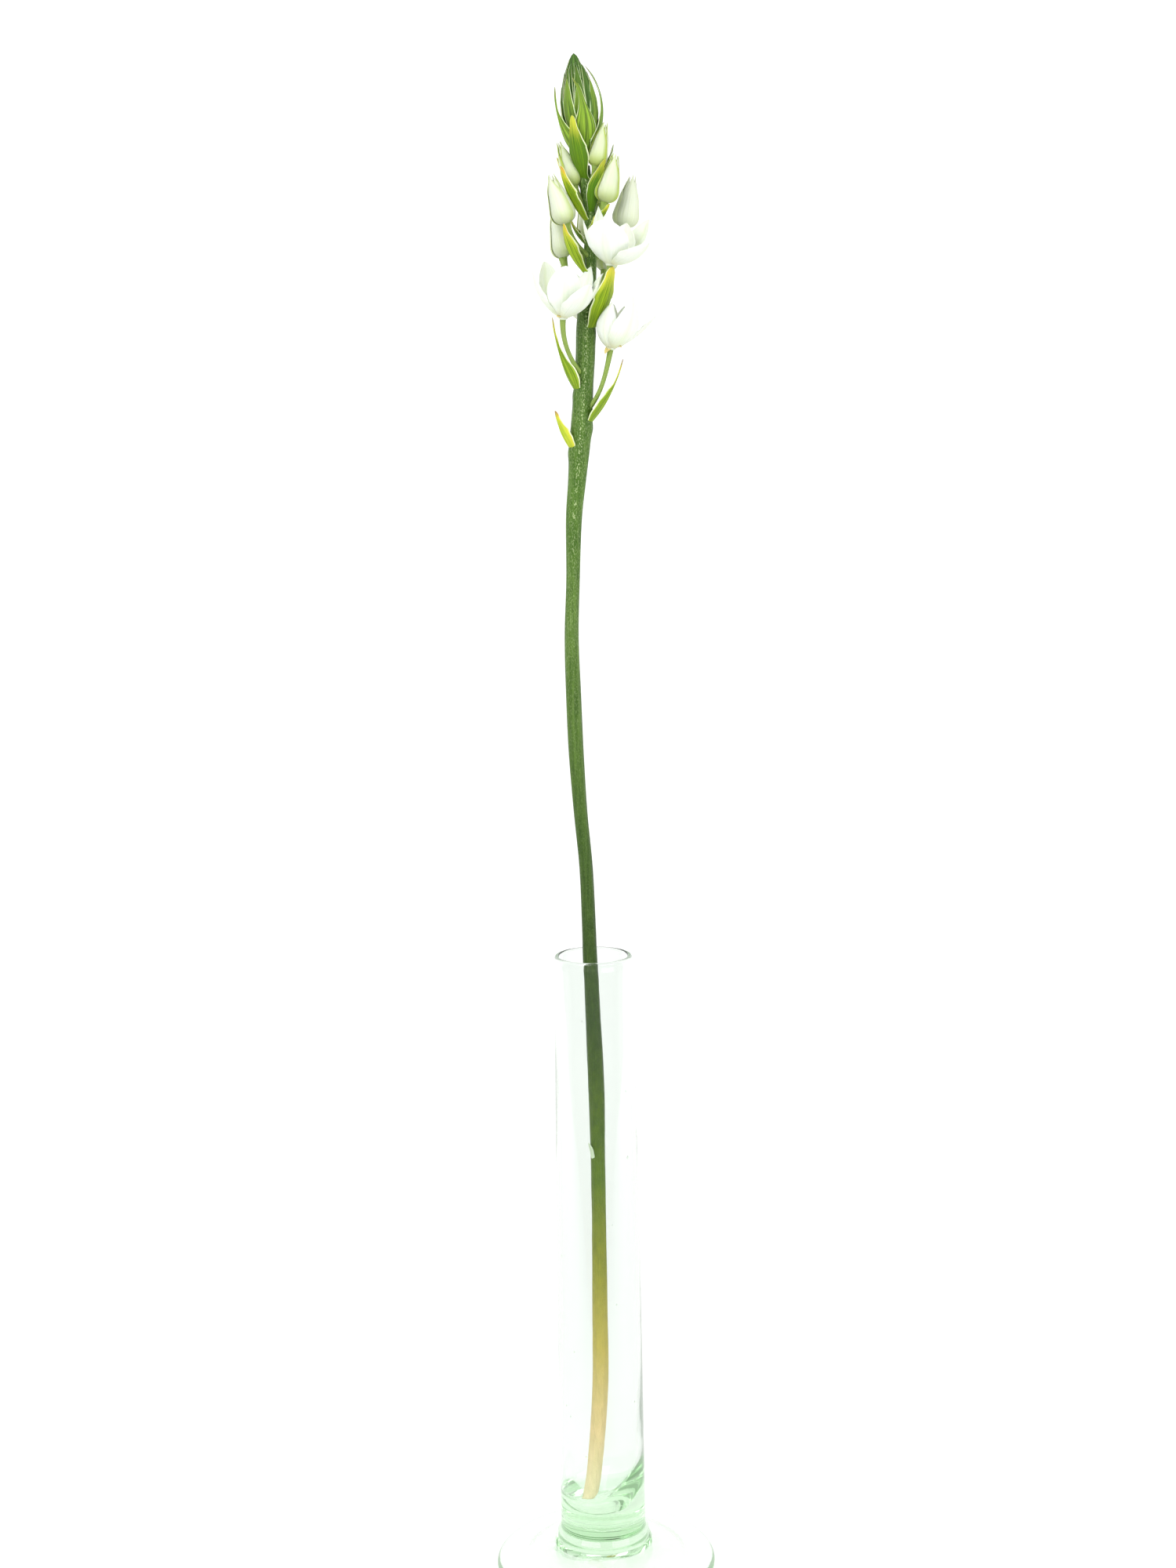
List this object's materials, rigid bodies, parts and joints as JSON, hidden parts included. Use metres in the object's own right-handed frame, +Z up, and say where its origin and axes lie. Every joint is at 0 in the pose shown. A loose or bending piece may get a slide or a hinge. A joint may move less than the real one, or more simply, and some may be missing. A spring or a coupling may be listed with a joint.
{
  "type": "chincherinchee in vase",
  "caption": "A cut chincherinchee stem with white half-open flowers and green buds, standing in a tall narrow vase of clear, faintly green blown glass with a domed round foot",
  "frame": {"origin": "the middle of the vase's foot, on the surface that it stands on", "axes": "+Z up along the tube; -Y is the front, which shows the open flowers best; +X to the right seen from the front"},
  "size_m": [0.0904, 0.0904, 0.6074],
  "materials": {
    "glass": "clear blown glass, faintly green, with small bubbles, fire-polished",
    "stem": "fresh plant stem, mottled green with a waxy sheen, fading to pale yellow green at the cut end",
    "bract": "fresh bract, yellow green with darker veins, pale edges and orange tips",
    "crown": "tight young bracts, dark grey green with pale thin edges",
    "bud": "closed bud, white to pale green, greener at its base",
    "tepal": "white satin petal with faint green shading",
    "centre": "green ovary, white filaments and yellow powdery anthers"
  },
  "bodies": {
    "root": {"vase": "glass", "scape": "stem", "crown": "crown", "bud_top_right": "bud", "bud_top_left": "bud", "bud_right": "bud", "bud_left": "bud", "bud_white": "bud", "bud_low_left": "bud", "bud_back_1": "bud", "bud_back_2": "bud", "bud_back_3": "bud", "bud_back_4": "bud", "bud_back_5": "bud", "flower_left_tepals": "tepal", "flower_right_tepals": "tepal", "flower_low_tepals": "tepal", "flower_back_tepals": "tepal", "flower_left_centre": "centre", "flower_right_centre": "centre", "flower_low_centre": "centre", "flower_back_centre": "centre"}
  },
  "joints": []
}
